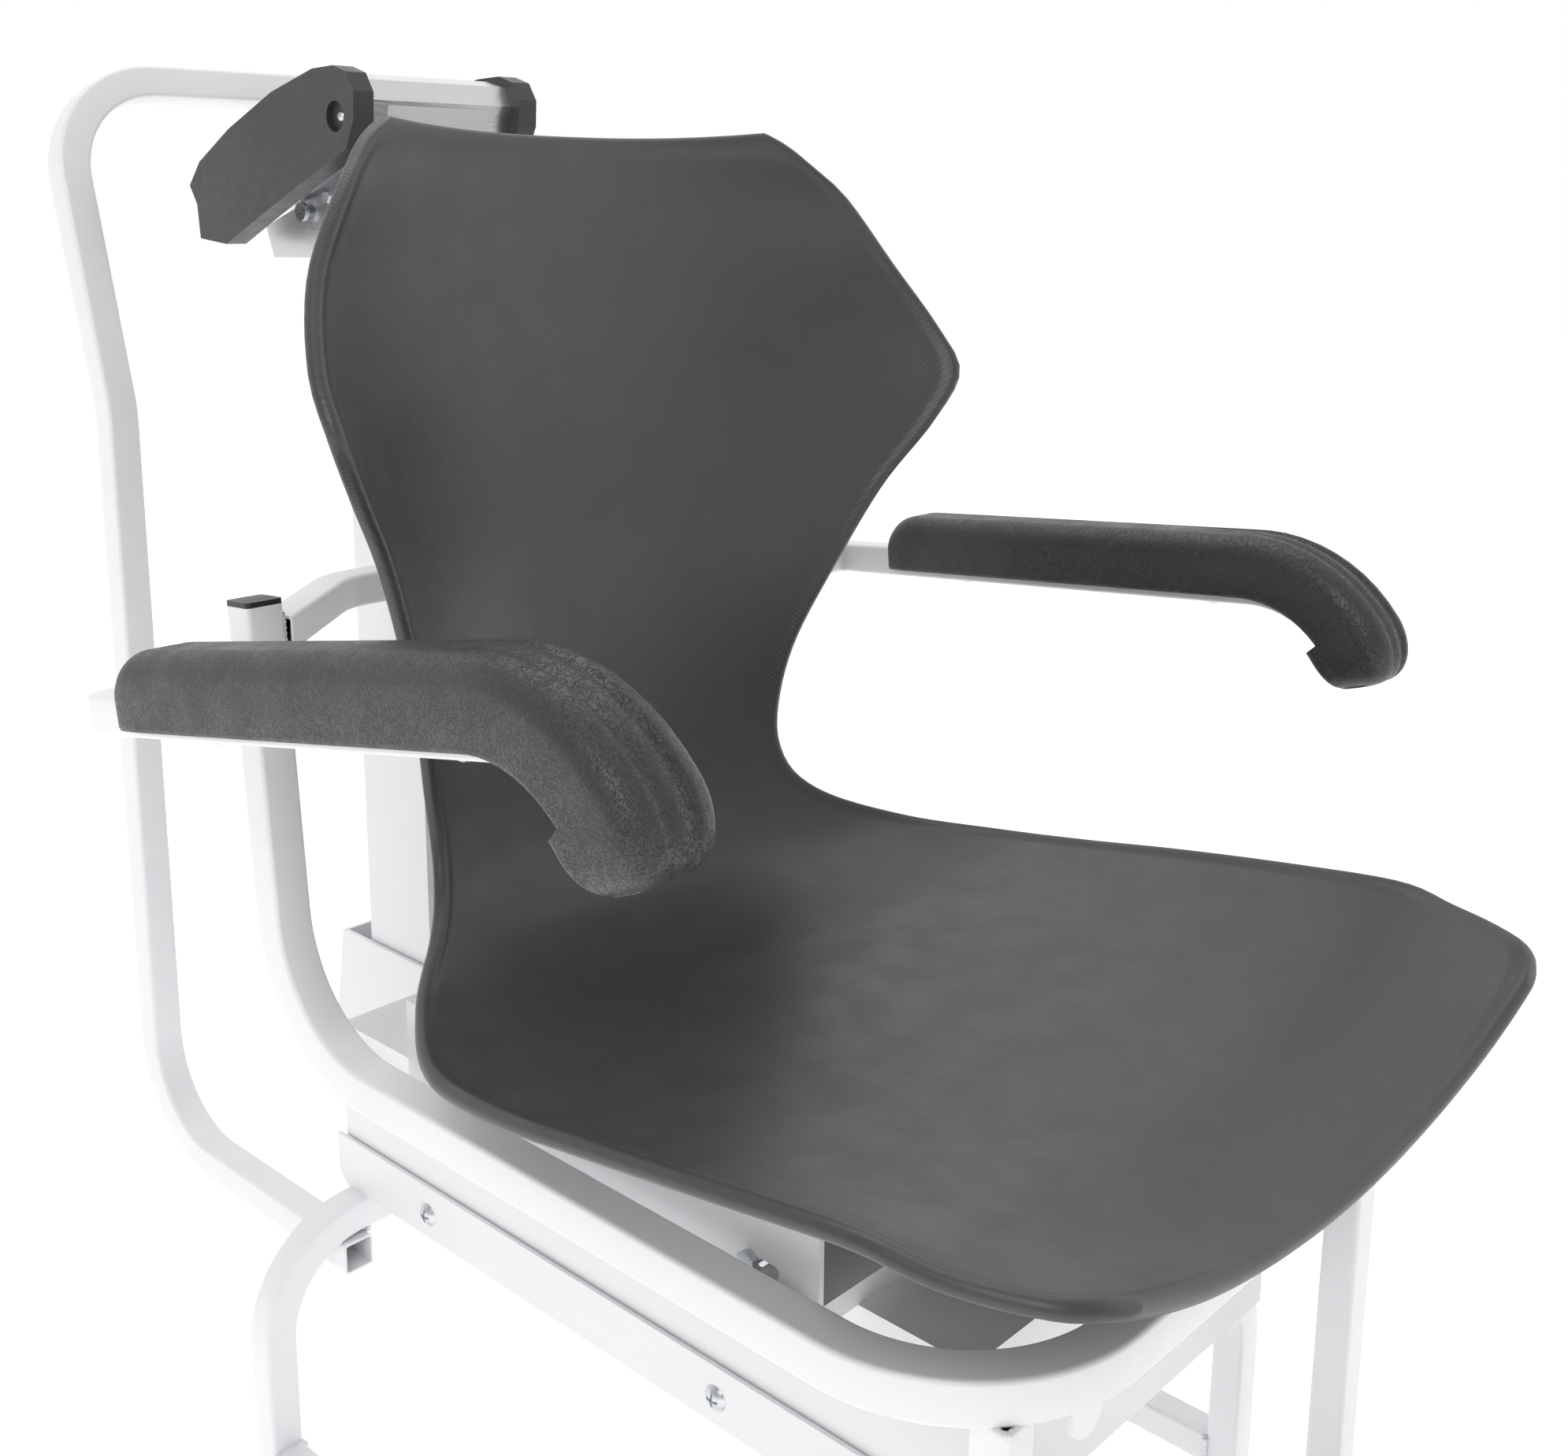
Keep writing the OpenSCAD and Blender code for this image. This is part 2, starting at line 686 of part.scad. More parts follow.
module fork(sx, y, dir) {
    color(zinc) translate([sx * leg_x, y, 0]) {
        translate([0, 0, stem_z - 8]) cylinder(r = 19, h = 7.7);
        translate([0, 0, stem_z - 1]) cylinder(r = 7.5, h = 40);
        for (s = [-1, 1]) translate([s * (wheel_w / 2 + 3) - 1.5, 0, 0]) rotate([90, 0, 90]) linear_extrude(3)
            difference() {
                polygon([[-15, stem_z - 6], [15, stem_z - 6], [dir * castor_trail + 9, wheel_r + 6],
                    [dir * castor_trail + 7, wheel_r - 8], [dir * castor_trail - 8, wheel_r - 8],
                    [dir * castor_trail - 10, wheel_r + 8]]);
                translate([dir * castor_trail, wheel_r]) circle(4);
            }
    }
}

module wheel(sx, y, dir) {
    color("gray") translate([sx * leg_x - wheel_w / 2, y + dir * castor_trail, wheel_r]) rotate([0, 90, 0]) difference() {
        union() {
            cylinder(r = wheel_r - 2, h = wheel_w);
            translate([0, 0, 2]) cylinder(r = wheel_r, h = wheel_w - 4);
        }
        translate([0, 0, -1]) cylinder(r = 4.05, h = wheel_w + 2);
    }
}

// Plastic sleeves pressed into the legs for the castor stems
module castor_sockets() {
    side = leg_tube - 2 * tube_wall - 0.04;
    color("black") for (sx = [-1, 1], y = [rear_leg_y, front_leg_y]) translate([sx * leg_x, y, leg_foot_z])
        difference() {
            linear_extrude(45) round_square(side, 1.2);
            translate([0, 0, -1]) cylinder(r = 7.55, h = 47);
        }
}

module axle(sx, y, dir) {
    color(zinc) translate([sx * leg_x - wheel_w / 2 - 4.5, y + dir * castor_trail, wheel_r]) rotate([0, 90, 0]) {
        cylinder(r = 3.98, h = wheel_w + 9);
        translate([0, 0, -4]) cylinder(r = 6.5, h = 4, $fn = 6);
        translate([0, 0, wheel_w + 9]) cylinder(r = 6.5, h = 4, $fn = 6);
    }
}

module rear_left_axle() axle(-1, rear_leg_y, 1);

module rear_right_axle() axle(1, rear_leg_y, 1);

module front_left_axle() axle(-1, front_leg_y, 1);

module front_right_axle() axle(1, front_leg_y, 1);

module rear_left_fork() fork(-1, rear_leg_y, 1);

module rear_right_fork() fork(1, rear_leg_y, 1);

module front_left_fork() fork(-1, front_leg_y, 1);

module front_right_fork() fork(1, front_leg_y, 1);

module rear_left_wheel() wheel(-1, rear_leg_y, 1);

module rear_right_wheel() wheel(1, rear_leg_y, 1);

module front_left_wheel() wheel(-1, front_leg_y, 1);

module front_right_wheel() wheel(1, front_leg_y, 1);

// Brake pedal between the cheeks of a rear fork, above the wheel
module brake() {
    pedal_w = 18;
    pedal_y = rear_leg_y + 12;
    color("red") translate([leg_x, pedal_y, 84]) {
        translate([-pedal_w / 2, 0, -2]) cube([pedal_w, 52, 4]);
        translate([-wheel_w / 2 - 1.3, 0, 0]) rotate([0, 90, 0]) cylinder(r = 3, h = wheel_w + 2.6);
    }
}

module left_brake() mirror([1, 0, 0]) brake();

module right_brake() brake();

rear_leg_frame();
front_leg_frame();
side_rails();
push_handle();
base_channels();
channel_screws();
cell_plate();
load_cell();
cell_bolts();
weigh_box();
seat_frame();
post_caps();
cross_bars();
seat_rails();
seat_bolts();
back_cross_tube();
column();
column_sleeve();
column_bolts();
seat_shell();
hanger_tubes();
stop_tabs();
indicator_bracket();
indicator_pin();
arm_pivot_bolts();
left_arm_tube();
left_arm_pad();
left_pad_screws();
right_arm_tube();
right_arm_pad();
right_pad_screws();
indicator_housing();
indicator_caps();
cap_screws();
display_window();
battery_cover();
power_key();
tare_key();
hold_key();
mode_key();
left_foot_plate();
right_foot_plate();
left_foot_mat();
right_foot_mat();
foot_pins();
castor_sockets();
rear_left_fork();
rear_left_wheel();
rear_left_axle();
rear_right_fork();
rear_right_wheel();
rear_right_axle();
front_left_fork();
front_left_wheel();
front_left_axle();
front_right_fork();
front_right_wheel();
front_right_axle();
left_brake();
right_brake();
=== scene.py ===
"""Looks of a digital chair scale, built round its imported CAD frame.

Metres in Blender, millimetres in the named sizes below. The front of the chair is -Y and the floor is z = 0.
"""

import json
import math

import bpy
from mathutils import Matrix, Vector


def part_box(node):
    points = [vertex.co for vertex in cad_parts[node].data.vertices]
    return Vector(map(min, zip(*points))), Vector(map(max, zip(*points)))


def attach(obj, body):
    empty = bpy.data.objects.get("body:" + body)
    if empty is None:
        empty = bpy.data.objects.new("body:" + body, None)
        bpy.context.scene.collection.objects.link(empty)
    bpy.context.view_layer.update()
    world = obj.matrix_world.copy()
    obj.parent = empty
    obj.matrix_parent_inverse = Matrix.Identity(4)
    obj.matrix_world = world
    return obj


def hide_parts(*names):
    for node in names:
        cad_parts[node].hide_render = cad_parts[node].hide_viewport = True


MM = 0.001
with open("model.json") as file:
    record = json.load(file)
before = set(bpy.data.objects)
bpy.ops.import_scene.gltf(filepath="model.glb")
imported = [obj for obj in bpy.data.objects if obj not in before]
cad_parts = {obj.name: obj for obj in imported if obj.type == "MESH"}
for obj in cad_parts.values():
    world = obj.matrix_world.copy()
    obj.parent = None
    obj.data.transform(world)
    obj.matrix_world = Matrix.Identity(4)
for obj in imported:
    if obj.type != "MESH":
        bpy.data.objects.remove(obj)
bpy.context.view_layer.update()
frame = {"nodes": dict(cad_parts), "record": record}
nodes = frame["nodes"]

# --- sizes shared with the CAD, in millimetres

LEG_TUBE = 20
SEAT_TUBE = 22
WALL = 1.5
CORNER = 2.5
LEG_X, LEG_TOP, LEG_FOOT, LEG_BEND = 198, 275, 100.1, 60
LEG_YS = {"rear_leg_frame": 186, "front_leg_frame": -228}
HANDLE_X, HANDLE_Y, HANDLE_TOP, HANDLE_LOW, HANDLE_END = 145, 403, 948, 251.9, 174
KICK_Z, KICK_R, KICK_ANGLE = 737, 60, 15
SEAT_X, SEAT_Z, SEAT_FRONT, SEAT_BEND = 190, 413, -328, 85
POST_TOP = (174, 663)
POST_LEAN = 4.1
PIVOT = Vector((0, 167, 624))
ARM_X, ARM_INNER, ARM_STRAIGHT, ARM_BEND, ARM_TURN, TUBE_TURN = 283, 201.6, 332, 68, 78, 70
ARM_RISE = {"left": 10.2, "right": 4.7}
SIDE = {"left": -1, "right": 1}


# --- mesh helpers

def finish_mesh(name, verts, faces, body, material, sharp=40):
    """A smooth-shaded piece from points in millimetres, riding on a CAD body."""
    mesh = bpy.data.meshes.new(name)
    mesh.from_pydata([Vector(v) * MM for v in verts], [], faces)
    mesh.validate()
    mesh.shade_smooth()
    mesh.set_sharp_from_angle(angle=math.radians(sharp))
    piece = bpy.data.objects.new(name, mesh)
    bpy.context.scene.collection.objects.link(piece)
    mesh.materials.append(material)
    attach(piece, body)
    return piece


def loft(rings, closed=False, caps=False):
    """(points, faces) of a skin over rings of equal count."""
    count = len(rings[0])
    verts = [p for ring in rings for p in ring]
    faces = []
    spans = len(rings) if closed else len(rings) - 1
    for j in range(spans):
        a, b = j * count, (j + 1) % len(rings) * count
        for i in range(count):
            k = (i + 1) % count
            faces.append((a + i, a + k, b + k, b + i))
    if caps:
        faces.append(tuple(reversed(range(count))))
        faces.append(tuple(range((len(rings) - 1) * count, len(rings) * count)))
    return verts, faces


def filleted(points, radii, step=3):
    """Points and directions along a polyline whose inner corners are arcs of the given radii."""
    points = [Vector(p) for p in points]
    path = [(points[0], (points[1] - points[0]).normalized())]
    for before, corner, after, radius in zip(points, points[1:], points[2:], radii):
        u = (corner - before).normalized()
        v = (after - corner).normalized()
        angle = u.angle(v)
        normal = (v - u * u.dot(v)).normalized()
        centre = corner - u * radius * math.tan(angle / 2) + normal * radius
        count = max(2, round(math.degrees(angle) / step))
        for i in range(count + 1):
            turn = angle * i / count
            at = centre - normal * radius * math.cos(turn) + u * radius * math.sin(turn)
            path.append((at, u * math.cos(turn) + normal * math.sin(turn)))
    path.append((points[-1], (points[-1] - points[-2]).normalized()))
    return path


def rounded_square(side, radius, steps=5):
    ring = []
    for quarter in range(4):
        for i in range(steps + 1):
            angle = math.radians(90 * quarter + 90 * i / steps)
            sx = 1 if quarter in (0, 3) else -1
            sy = 1 if quarter in (0, 1) else -1
            ring.append((sx * (side / 2 - radius) + radius * math.cos(angle),
                         sy * (side / 2 - radius) + radius * math.sin(angle)))
    return ring


def sweep(path, across, section):
    """Rings of a section carried along a path without twist, starting with its x along across."""
    rings = []
    across = Vector(across)
    for at, along in path:
        across = (across - along * across.dot(along)).normalized()
        up = along.cross(across)
        rings.append([at + across * x + up * y for x, y in section])
    return rings


def square_tube(name, points, radii, side, across, body, node, place=Matrix.Identity(4)):
    """A hollow square tube that stands for a CAD tube node."""
    path = filleted(points, radii)
    outer = sweep(path, across, rounded_square(side, CORNER))
    inner = sweep(path, across, rounded_square(side - 2 * WALL, CORNER - WALL + 0.2))
    rings = [[place @ p for p in ring] for ring in outer + inner[::-1]]
    verts, faces = loft(rings, closed=True)
    piece = finish_mesh(name, verts, faces, body, white)
    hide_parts(node)
    return piece


def weld(name, points, body="chair", radius=1.9, ripple=3.2):
    """A weld bead: a small rippled cord of metal along a joint."""
    points = [Vector(p) for p in points]
    path = []
    for a, b in zip(points, points[1:]):
        count = max(2, round((b - a).length / 0.8))
        path += [(a.lerp(b, i / count), (b - a).normalized()) for i in range(count)]
    path.append((points[-1], (points[-1] - points[-2]).normalized()))
    rings = []
    travelled = 0
    for i, (at, along) in enumerate(path):
        if i:
            travelled += (at - path[i - 1][0]).length
        across = along.orthogonal().normalized()
        up = along.cross(across)
        r = radius * (1 + 0.16 * math.cos(2 * math.pi * travelled / ripple))
        if i in (0, len(path) - 1):
            r *= 0.3
        rings.append([at + (across * math.cos(t) + up * math.sin(t)) * r
                      for t in (2 * math.pi * k / 8 for k in range(8))])
    verts, faces = loft(rings, caps=True)
    return finish_mesh(name, verts, faces, body, white, sharp=80)


def lathe(name, profile, centre, body, material, steps=64):
    """A piece turned about the X axis through centre, from (radius, x) points."""
    rings = []
    for r, x in profile:
        rings.append([Vector(centre) + Vector((x, r * math.cos(t), r * math.sin(t)))
                      for t in (2 * math.pi * k / steps for k in range(steps))])
    verts, faces = loft(rings, closed=True)
    return finish_mesh(name, verts, faces, body, material)


# --- materials

def material(name, colour, **sockets):
    made = bpy.data.materials.new(name)
    made.use_nodes = True
    shader = made.node_tree.nodes["Principled BSDF"]
    shader.inputs["Base Color"].default_value = (*colour, 1)
    for socket, value in sockets.items():
        shader.inputs[socket.replace("_", " ").title().replace("Ior", "IOR")].default_value = value
    return made, made.node_tree, shader


def add(tree, kind, **values):
    node = tree.nodes.new(kind)
    for name, value in values.items():
        setattr(node, name, value)
    return node


def place_on_object(tree, scale=(1, 1, 1)):
    """Coordinates in metres on the object, stretched by scale."""
    coords = add(tree, "ShaderNodeTexCoord")
    mapping = add(tree, "ShaderNodeMapping")
    mapping.inputs["Scale"].default_value = scale
    tree.links.new(coords.outputs["Object"], mapping.inputs["Vector"])
    return mapping.outputs["Vector"]


def noise(tree, where, scale, detail=3, roughness=0.55, distortion=0):
    node = add(tree, "ShaderNodeTexNoise")
    node.inputs["Scale"].default_value = scale
    node.inputs["Detail"].default_value = detail
    node.inputs["Roughness"].default_value = roughness
    node.inputs["Distortion"].default_value = distortion
    tree.links.new(where, node.inputs["Vector"])
    return node.outputs["Fac"]


def remap(tree, value, low, high, to_low, to_high):
    node = add(tree, "ShaderNodeMapRange", interpolation_type="SMOOTHSTEP")
    for socket, number in zip(("From Min", "From Max", "To Min", "To Max"), (low, high, to_low, to_high)):
        node.inputs[socket].default_value = number
    tree.links.new(value, node.inputs["Value"])
    return node.outputs["Result"]


def maths(tree, operation, a, b=None):
    node = add(tree, "ShaderNodeMath", operation=operation)
    for socket, value in zip(node.inputs, (a, b)):
        if isinstance(value, (int, float)):
            socket.default_value = value
        elif value is not None:
            tree.links.new(value, socket)
    return node.outputs["Value"]


def two_tone(tree, shader, fac, dark, light):
    node = add(tree, "ShaderNodeMix", data_type="RGBA")
    node.inputs["A"].default_value = (*dark, 1)
    node.inputs["B"].default_value = (*light, 1)
    tree.links.new(fac, node.inputs["Factor"])
    tree.links.new(node.outputs["Result"], shader.inputs["Base Color"])


def bump(tree, shader, height, distance, strength=1.0):
    """Adds relief of that depth in metres, over any relief the shader already has."""
    node = add(tree, "ShaderNodeBump")
    node.inputs["Distance"].default_value = distance
    node.inputs["Strength"].default_value = strength
    tree.links.new(height, node.inputs["Height"])
    if shader.inputs["Normal"].is_linked:
        tree.links.new(shader.inputs["Normal"].links[0].from_socket, node.inputs["Normal"])
    tree.links.new(node.outputs["Normal"], shader.inputs["Normal"])


def uneven_gloss(tree, shader, clouds, low, high):
    """Roughness from low to high over the clouds of a noise."""
    tree.links.new(remap(tree, clouds, 0.3, 0.7, low, high), shader.inputs["Roughness"])


def powder_coat():
    """White powder coat: orange peel, faint clouding, slightly uneven gloss."""
    made, tree, shader = material("white_powder_coat", (0.79, 0.8, 0.815),
                                  coat_weight=0.2, coat_roughness=0.15)
    where = place_on_object(tree)
    two_tone(tree, shader, noise(tree, where, 9, detail=4), (0.775, 0.783, 0.8), (0.82, 0.826, 0.838))
    uneven_gloss(tree, shader, noise(tree, where, 60), 0.3, 0.42)
    bump(tree, shader, noise(tree, where, 420, detail=2), 0.00008)
    bump(tree, shader, noise(tree, where, 2400, detail=1), 0.00001)
    return made


DOT_PITCH = 0.0034
RIB_PITCH = 0.005


def shell_plastic():
    """Charcoal plastic: fine grain all over, and rows of small dots on the backrest."""
    made, tree, shader = material("charcoal_shell", (0.045, 0.045, 0.047), specular_ior_level=0.62)
    where = place_on_object(tree)
    two_tone(tree, shader, noise(tree, where, 7, detail=5), (0.041, 0.0412, 0.0425), (0.05, 0.0502, 0.0515))
    uneven_gloss(tree, shader, noise(tree, where, 35, detail=4), 0.36, 0.45)
    split = add(tree, "ShaderNodeSeparateXYZ")
    tree.links.new(where, split.inputs["Vector"])
    turns = 2 * math.pi / DOT_PITCH
    waves = [maths(tree, "SINE", maths(tree, "MULTIPLY", split.outputs[axis], turns)) for axis in "XZ"]
    dots = maths(tree, "MULTIPLY", *waves)
    on_back = remap(tree, split.outputs["Z"], 0.5, 0.6, 0, 1)
    bump(tree, shader, maths(tree, "MULTIPLY", dots, on_back), 0.00005)
    bump(tree, shader, noise(tree, where, 1500, detail=2), 0.00005)
    return made


def pad_skin():
    """Integral-skin foam: short worm-like wrinkles over a soft grain."""
    made, tree, shader = material("pad_skin", (0.032, 0.032, 0.033), specular_ior_level=0.6)
    where = place_on_object(tree)
    two_tone(tree, shader, noise(tree, where, 16, detail=5), (0.026, 0.026, 0.027), (0.038, 0.038, 0.039))
    uneven_gloss(tree, shader, noise(tree, where, 50, detail=3), 0.36, 0.48)
    wave = noise(tree, where, 360, detail=1.5, distortion=1.1)
    ridge = maths(tree, "ABSOLUTE", maths(tree, "SUBTRACT", wave, 0.5))
    bump(tree, shader, remap(tree, ridge, 0, 0.06, 1, 0), 0.0005)
    bump(tree, shader, noise(tree, where, 1300, detail=2), 0.00006)
    return made


def moulded(name, dark, light, roughness, grain=1600, depth=0.00004):
    made, tree, shader = material(name, light)
    where = place_on_object(tree)
    two_tone(tree, shader, noise(tree, where, 40, detail=4), dark, light)
    uneven_gloss(tree, shader, noise(tree, where, 120), roughness - 0.06, roughness + 0.06)
    bump(tree, shader, noise(tree, where, grain, detail=2), depth)
    return made


def plated(name, dark, light, roughness, stretch, grain=900):
    """Bare or plated metal with fine marks stretched one way."""
    made, tree, shader = material(name, light, metallic=1.0)
    where = place_on_object(tree, stretch)
    two_tone(tree, shader, noise(tree, where, 60, detail=4), dark, light)
    uneven_gloss(tree, shader, noise(tree, where, grain), roughness - 0.08, roughness + 0.1)
    bump(tree, shader, noise(tree, where, grain, detail=3), 0.00002)
    return made


def ribbed_mat():
    made = moulded("ribbed_rubber", (0.02, 0.02, 0.021), (0.032, 0.032, 0.033), 0.62)
    tree = made.node_tree
    split = add(tree, "ShaderNodeSeparateXYZ")
    tree.links.new(place_on_object(tree), split.inputs["Vector"])
    ribs = maths(tree, "SINE", maths(tree, "MULTIPLY", split.outputs["X"], 2 * math.pi / RIB_PITCH))
    bump(tree, tree.nodes["Principled BSDF"], ribs, 0.0006)
    return made


white = powder_coat()
charcoal = shell_plastic()
skin = pad_skin()
zinc = plated("zinc_plate", (0.5, 0.52, 0.55), (0.72, 0.73, 0.74), 0.3, (1, 1, 1))
alu = plated("satin_aluminium", (0.66, 0.67, 0.69), (0.78, 0.785, 0.8), 0.36, (0.06, 1, 1))
black = moulded("black_plastic", (0.016, 0.016, 0.017), (0.026, 0.026, 0.028), 0.42)
cap_plastic = moulded("charcoal_cap", (0.032, 0.032, 0.034), (0.048, 0.048, 0.05), 0.4,
                      grain=1100, depth=0.00009)
rubber = moulded("grey_tread", (0.2, 0.205, 0.21), (0.27, 0.275, 0.28), 0.6)
hub_plastic = moulded("hub_plastic", (0.42, 0.43, 0.44), (0.5, 0.51, 0.52), 0.4)
red = moulded("red_pedal", (0.4, 0.015, 0.015), (0.52, 0.025, 0.02), 0.34)
glass = moulded("display_film", (0.012, 0.016, 0.015), (0.018, 0.022, 0.021), 0.12, grain=300, depth=0.000002)
lcd = moulded("display_glass", (0.2, 0.24, 0.18), (0.25, 0.29, 0.22), 0.25)
mat_rubber = ribbed_mat()
label = moulded("label_plate", (0.66, 0.67, 0.68), (0.76, 0.77, 0.78), 0.35, grain=700, depth=0.00001)

SLOT_LOOKS = {
    "white_coat": white, "seat_plastic": charcoal, "zinc_steel": zinc, "aluminium": alu, "pad_foam": skin,
    "black_plastic": black, "cap_plastic": cap_plastic, "grey_tread": rubber, "brake_plastic": red,
    "display": glass,
}
EDGE_ROUNDING = {
    "indicator_caps": 3.2, "weigh_box": 1.4, "column": 1.4, "column_sleeve": 1.2, "base_channels": 0.5,
    "post_caps": 0.8, "indicator_housing": 0.5, "left_foot_mat": 0.6, "right_foot_mat": 0.6,
}
SMALL_EDGE = 0.3


def dress_cad_nodes():
    """Every CAD node gets its material and smooth curves, and all but the tubes and rails a small rounding on
    its edges.
    """
    slots = {part["node"]: part["material_slot"] for part in frame["record"]["subparts"]}
    for name, piece in nodes.items():
        look = mat_rubber if name.endswith("foot_mat") else SLOT_LOOKS[slots[name]]
        piece.data.materials.clear()
        piece.data.materials.append(look)
        piece.data.shade_smooth()
        piece.data.set_sharp_from_angle(angle=math.radians(38))
        if name.endswith(("tubes", "rails", "cross_tube")):
            continue
        edges = piece.modifiers.new("edges", "BEVEL")
        edges.width = EDGE_ROUNDING.get(name, SMALL_EDGE) * MM
        edges.segments = 3
        edges.limit_method = "ANGLE"
        edges.angle_limit = math.radians(50)
        edges.harden_normals = False


# --- tubes

def base_tubes():
    for node, y in LEG_YS.items():
        points = [(-LEG_X, y, LEG_FOOT), (-LEG_X, y, LEG_TOP), (LEG_X, y, LEG_TOP), (LEG_X, y, LEG_FOOT)]
        square_tube(node + "_tube", points, [LEG_BEND] * 2, LEG_TUBE, (0, 1, 0), "chair", node)


def handle_tube():
    kick = KICK_Z + KICK_R * math.tan(math.radians(KICK_ANGLE / 2))
    bar_y = HANDLE_Y + (HANDLE_TOP - kick) * math.tan(math.radians(KICK_ANGLE))
    half = [(HANDLE_X, HANDLE_END, HANDLE_LOW), (HANDLE_X, HANDLE_Y, HANDLE_LOW), (HANDLE_X, HANDLE_Y, kick),
            (HANDLE_X, bar_y, HANDLE_TOP)]
    points = half + [(-x, y, z) for x, y, z in reversed(half)]
    radii = [70, KICK_R, 65]
    square_tube("push_handle_tube", points, radii + radii[::-1], LEG_TUBE, (1, 0, 0), "chair", "push_handle")


def seat_tube():
    foot_y = POST_TOP[0] - math.tan(math.radians(POST_LEAN)) * (POST_TOP[1] - SEAT_Z)
    half = [(SEAT_X, *POST_TOP), (SEAT_X, foot_y, SEAT_Z), (SEAT_X, SEAT_FRONT, SEAT_Z)]
    points = half + [(-x, y, z) for x, y, z in reversed(half)]
    square_tube("seat_frame_tube", points, [SEAT_BEND] * 4, SEAT_TUBE, (1, 0, 0), "chair", "seat_frame")


def cross_tube():
    """Tube behind the backrest, bent forward to each post."""
    height, turn_x, column_y = 645, 95, 241.8
    post_y = POST_TOP[0] - math.tan(math.radians(POST_LEAN)) * (POST_TOP[1] - height)
    half = [(SEAT_X - SEAT_TUBE / 2, post_y, height), (turn_x, column_y, height)]
    points = half + [(-x, y, z) for x, y, z in reversed(half)]
    square_tube("back_cross_square_tube", points, [45, 45], LEG_TUBE, (0, 0, 1), "chair", "back_cross_tube")


def arm_place(side):
    """From a right-hand arm, level and with its pivot at the origin, to where that side's arm stands."""
    rise = Matrix.Rotation(-math.radians(ARM_RISE[side]), 4, "X")
    return Matrix.Diagonal((SIDE[side], 1, 1, 1)) @ Matrix.Translation(PIVOT) @ rise


def arm_tube(side):
    reach = ARM_BEND * math.tan(math.radians(TUBE_TURN / 2))
    knee = Vector((ARM_X, -ARM_STRAIGHT - reach, 0))
    tip = knee + reach * Vector((0, -math.cos(math.radians(TUBE_TURN)), -math.sin(math.radians(TUBE_TURN))))
    points = [(ARM_INNER, 0, 0), (ARM_X, 0, 0), knee, tip]
    square_tube(side + "_arm_square_tube", points, [14, ARM_BEND], LEG_TUBE, (0, 0, 1), side + "_arm",
                side + "_arm_tube", arm_place(side))


# --- arm pads

PAD_START = 62
PAD_REAR, PAD_TIP = 20, 24
PAD_HALF = 23
PAD_TOP = 33.5
PAD_LOW = -4
TIP_LOW = -11.5
TIP_START = ARM_STRAIGHT + ARM_BEND * math.radians(52)
PAD_END = ARM_STRAIGHT + ARM_BEND * math.radians(ARM_TURN)
TUBE_END = ARM_STRAIGHT + ARM_BEND * math.radians(TUBE_TURN + 0.3)


def pad_section(width, top, flute, low, roof):
    """Crowned section of a pad: (across, up) points, with a shallow flute along each shoulder.

    The underside is at low, and the groove for the tube reaches up to roof.
    """
    points = []
    shoulder = min(14, width * 0.6, top * 0.5)
    for quarter, centre in ((0, 1), (1, -1)):
        for i in range(9):
            angle = math.radians(90 * quarter + 90 * i / 8)
            points.append((centre * (width - shoulder) + shoulder * math.cos(angle),
                           top - shoulder + shoulder * math.sin(angle)))
        if quarter == 0:
            for i in range(1, 12):
                x = (width - shoulder) * (1 - i / 6)
                dip = flute * math.exp(-((abs(x) - 0.7 * (width - shoulder)) / 3.2) ** 2)
                points.append((x, top + 0.9 * (1 - (x / width) ** 2) - 0.9 - dip))
    groove = min(LEG_TUBE / 2 + 0.1, width * 0.9)
    lip = 2.5
    points += [(-width, low + lip), (-width + 0.7, low + 0.7), (-width + lip, low), (-groove, low),
               (-groove, roof), (groove, roof), (groove, low),
               (width - lip, low), (width - 0.7, low + 0.7), (width, low + lip)]
    return points


def pad_profile(s):
    """Width, height, flute depth, underside and groove roof of the pad at distance s along it."""
    wide, high, flute = 1, 1, 1.5 * min(1, max(0, (s - ARM_STRAIGHT + 50) / 70))
    low = PAD_LOW if s < TIP_START else TIP_LOW
    if s < PAD_START + PAD_REAR:
        rise = math.sqrt(max(0, 1 - (1 - (s - PAD_START) / PAD_REAR) ** 2))
        wide, high = 0.86 + 0.14 * rise ** 0.6, 0.56 + 0.44 * rise
    elif s > PAD_END - PAD_TIP:
        fall = math.sqrt(max(0, 1 - ((s - PAD_END + PAD_TIP) / PAD_TIP) ** 2))
        wide, high, flute = max(0.5, fall ** 0.5), 0.34 + 0.66 * fall ** 0.8, flute * fall
        low += 8 * (1 - fall)
    return wide, high, flute, low, LEG_TUBE / 2 + 0.1 if s < TUBE_END else low - 0.4


def pad_stations():
    """Distances along the pad: close together where it rounds off and where the groove ends."""
    rear = [PAD_START + PAD_REAR * (1 - math.cos(math.pi * i / 20)) for i in range(11)]
    span = PAD_END - PAD_START - PAD_REAR - PAD_TIP
    middle = [PAD_START + PAD_REAR + span * i / 44 for i in range(1, 45)]
    tip = [PAD_END - PAD_TIP + PAD_TIP * math.sin(math.pi * i / 36 * 0.985) for i in range(1, 19)]
    steps = [edge + side for edge in (TIP_START, TUBE_END) for side in (-0.05, 0.05)]
    return sorted(rear + middle + tip + steps)


